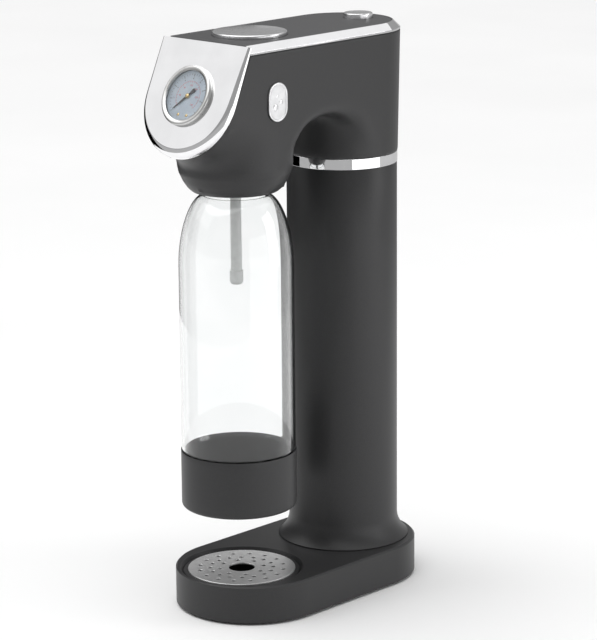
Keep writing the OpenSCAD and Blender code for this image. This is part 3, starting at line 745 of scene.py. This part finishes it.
def make_badge():
    """Plain pill-shaped plaque with a raised rim and three bubbles in relief."""
    low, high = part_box("side_badge")
    centre = (low + high) / 2
    half_w = (high.y - low.y) / 2
    half_h = (high.z - low.z) / 2 - half_w
    face = high.x - 0.5 * MM
    rows = [(0, low.x), (0, face - 0.5 * MM), (0.25 * MM, face - 0.1 * MM), (0.6 * MM, face),
            (1.3 * MM, face), (1.6 * MM, face - 0.15 * MM), (1.8 * MM, face - 0.55 * MM)]
    bm = bmesh.new()
    loops = [[bm.verts.new((x, y + centre.y, z + centre.z))
              for x, y, z in pill(half_w, half_h, inset, depth)] for inset, depth in rows]
    for a, b in zip(loops, loops[1:]):
        join_loops(bm, a, b)
    bm.faces.new(loops[0])
    bm.faces.new(loops[-1])
    for y, z, r in ((-2.4, -3.6, 2.6), (3.2, -0.4, 1.9), (-0.6, 4.2, 1.4)):
        made = bmesh.ops.create_uvsphere(bm, u_segments=32, v_segments=16, radius=r * MM)["verts"]
        for vertex in made:
            vertex.co = Vector((vertex.co.x * 0.25 + face - 0.6 * MM, vertex.co.y + centre.y + y * MM,
                                vertex.co.z + centre.z + z * MM))
    add_piece("plaque", mesh_from("plaque", bm, 40), body_with("side_badge"), "badge_metal",
              "side_badge")


make_badge()

# ---------------------------------------------------------------- bottle

NECK_R = 24 * MM
BOTTLE_WALL = 1.8 * MM


def bottle_wall(inset):
    """(radius, height) points from the bottle's foot to its neck, moved in by the inset."""
    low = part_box("bottle")[0]
    cup_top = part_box("bottle_base_cup")[1].z
    wide = radius_of("bottle")
    wall_top = 259 * MM
    neck_low = 312 * MM
    foot = wide - 2.2 * MM
    points = [(0, low.z + 6 * MM + inset), (14 * MM, low.z + 5 * MM + inset),
              (22 * MM, low.z + 1.6 * MM + inset), (26 * MM, low.z + 0.3 * MM + inset),
              (30 * MM, low.z + inset), (34 * MM, low.z + 0.4 * MM + inset),
              (37.6 * MM - inset, low.z + 2.4 * MM + inset * 0.6), (foot - inset, low.z + 7 * MM)]
    points += [(foot - inset, cup_top - 3 * MM), (foot - inset + 0.2 * MM, cup_top - 1.8 * MM),
               (wide - inset - 0.2 * MM, cup_top + 0.6 * MM), (wide - inset, cup_top + 1.6 * MM)]
    points += [(wide - inset, cup_top + (wall_top - cup_top) * i / 12) for i in range(1, 12)]
    for i in range(33):
        t = math.sin(math.pi / 2 * i / 32)
        points.append((NECK_R + (wide - NECK_R) * (1 - t * t) ** 0.6 - inset,
                       wall_top + (neck_low - wall_top) * t))
    return points


def make_bottle():
    """Clear pressure bottle: one closed wall with a bead under the neck and thread beads."""
    neck, top = NECK_R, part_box("bottle")[1].z
    beads = [(neck, 315.5 * MM), (neck + 0.8 * MM, 315.9 * MM), (neck + 0.8 * MM, 316.7 * MM),
             (neck, 317.1 * MM)]
    for z in (322, 328, 334):
        beads += [(neck, z * MM), (neck + 1.1 * MM, (z + 0.4) * MM), (neck + 1.1 * MM, (z + 1.1) * MM),
                  (neck, (z + 1.6) * MM)]
    lip = [(neck, top - 0.5 * MM), (neck - 0.5 * MM, top), (neck - 1.4 * MM, top),
           (neck - BOTTLE_WALL, top - 0.5 * MM)]
    profile = bottle_wall(0) + beads + lip + bottle_wall(BOTTLE_WALL)[::-1]
    bm = lathe(profile, middle("bottle").y, 144)
    add_piece("bottle_clear", mesh_from("bottle_clear", bm, 60), "bottle", "clear_bottle", "bottle")


def make_cup():
    """Dark cup round the bottle's foot, with rounded edges."""
    low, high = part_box("bottle_base_cup")
    r = radius_of("bottle_base_cup")
    bore = 40 * MM
    profile = [(0, low.z + 0.8 * MM), (r - 9 * MM, low.z + 0.8 * MM), (r - 8 * MM, low.z)]
    profile += arc((r - 3.2 * MM, low.z + 3.2 * MM), 3.2 * MM, -90, 0, 8)
    profile += [(r, low.z + (high.z - low.z) * f) for f in (0.3, 0.6, 0.9)]
    profile += arc((r - 0.25 * MM, high.z - 0.25 * MM), 0.25 * MM, 0, 90, 3)
    profile += [(r - 0.5 * MM, high.z), (bore, high.z - 2.6 * MM), (bore, low.z + 2.8 * MM),
                (0, low.z + 2.8 * MM)]
    bm = lathe(profile, middle("bottle_base_cup").y, 144)
    add_piece("bottle_cup", mesh_from("bottle_cup", bm, 50), "bottle", "dark_shell",
              "bottle_base_cup")


make_bottle()
make_cup()

# ---------------------------------------------------------------- studio


def make_floor():
    """Plain pale floor under everything."""
    bm = bmesh.new()
    bmesh.ops.create_grid(bm, x_segments=8, y_segments=8, size=12)
    mesh = mesh_from("floor", bm)
    floor = bpy.data.objects.new("floor", mesh)
    bpy.context.scene.collection.objects.link(floor)
    floor.location.z = cad_low.z - 0.0002
    mesh.materials.append(surface("floor", (.96, .96, .96), (.98, .98, .98), (.8, .9), 3))


def around(azimuth, distance, height):
    """Point at an azimuth about the object, in degrees: 0 in front of it and 90 on its right."""
    a = math.radians(azimuth)
    return Vector((distance * math.sin(a), -distance * math.cos(a), height))


def add_light(name, place, size, power, target=Vector((0, 0, 0.3))):
    """Soft box at a place, aimed at the target."""
    data = bpy.data.lights.new(name, "AREA")
    data.shape = "RECTANGLE"
    data.size, data.size_y = size
    data.energy = power
    light = bpy.data.objects.new(name, data)
    bpy.context.scene.collection.objects.link(light)
    light.matrix_world = Matrix.Translation(place) @ \
        (target - place).to_track_quat("-Z", "Y").to_matrix().to_4x4()


def add_sky_light(strength):
    """Very soft light from overhead."""
    data = bpy.data.lights.new("overhead", "SUN")
    data.energy = strength
    data.angle = math.radians(80)
    light = bpy.data.objects.new("overhead", data)
    bpy.context.scene.collection.objects.link(light)
    light.rotation_euler = (math.radians(12), math.radians(-10), 0)


def add_card(name, start, end, radiance, low=0.0, high=0.5, distance=0.9):
    """Curved card that only reflections see, between two azimuths right of the camera's."""
    steps = max(int(abs(end - start) / 4), 2)
    bm = bmesh.new()
    view = math.degrees(CAMERA_AZIMUTH)
    rows = [[bm.verts.new(around(view + start + (end - start) * i / steps, distance, z))
             for i in range(steps + 1)] for z in (low, high)]
    for i in range(steps):
        bm.faces.new((rows[0][i], rows[0][i + 1], rows[1][i + 1], rows[1][i]))
    card = bpy.data.objects.new(name, mesh_from(name, bm))
    bpy.context.scene.collection.objects.link(card)
    glow = bpy.data.materials.new(name)
    glow.use_nodes = True
    shader = glow.node_tree.nodes["Principled BSDF"]
    socket_set(shader, {"Base Color": (0, 0, 0, 1), "Roughness": 1, "Specular IOR Level": 0,
                        "Emission Color": (1, 1, 1, 1), "Emission Strength": radiance})
    card.data.materials.append(glow)
    card.visible_camera = False
    card.visible_diffuse = False
    card.visible_shadow = False
    card.visible_transmission = False


def make_world():
    """Even white surroundings: pure white behind, dimmer for the light they give."""
    world = bpy.data.worlds.new("world")
    bpy.context.scene.world = world
    world.use_nodes = True
    nodes, links = world.node_tree.nodes, world.node_tree.links
    paths = nodes.new("ShaderNodeLightPath")
    behind = nodes.new("ShaderNodeBackground")
    behind.inputs["Strength"].default_value = 1.0
    behind.inputs["Color"].default_value = (1, 1, 1, 1)
    around_us = nodes["Background"]
    around_us.inputs["Color"].default_value = (1, 1, 1, 1)
    around_us.inputs["Strength"].default_value = 0.33
    mix = nodes.new("ShaderNodeMixShader")
    links.new(paths.outputs["Is Camera Ray"], mix.inputs["Fac"])
    links.new(around_us.outputs["Background"], mix.inputs[1])
    links.new(behind.outputs["Background"], mix.inputs[2])
    links.new(mix.outputs["Shader"], nodes["World Output"].inputs["Surface"])


make_floor()
make_world()
add_sky_light(2.1)
add_light("face_box", around(-46, 1.4, 1.45), (1.7, 1.5), 4.6)
add_light("right_box", around(128, 1.5, 0.5), (0.7, 1.1), 7)
add_card("card_left_dark", -178, -99, 0.0)
add_card("card_front_grey", -99, 24, 0.45)
add_card("card_right_white", 24, 86, 1.6)
add_card("card_rear_grey", 86, 182, 0.58)
add_card("card_high_white", 80, 182, 0.95, 0.9, 1.9)
bpy.context.scene.view_settings.view_transform = "Standard"
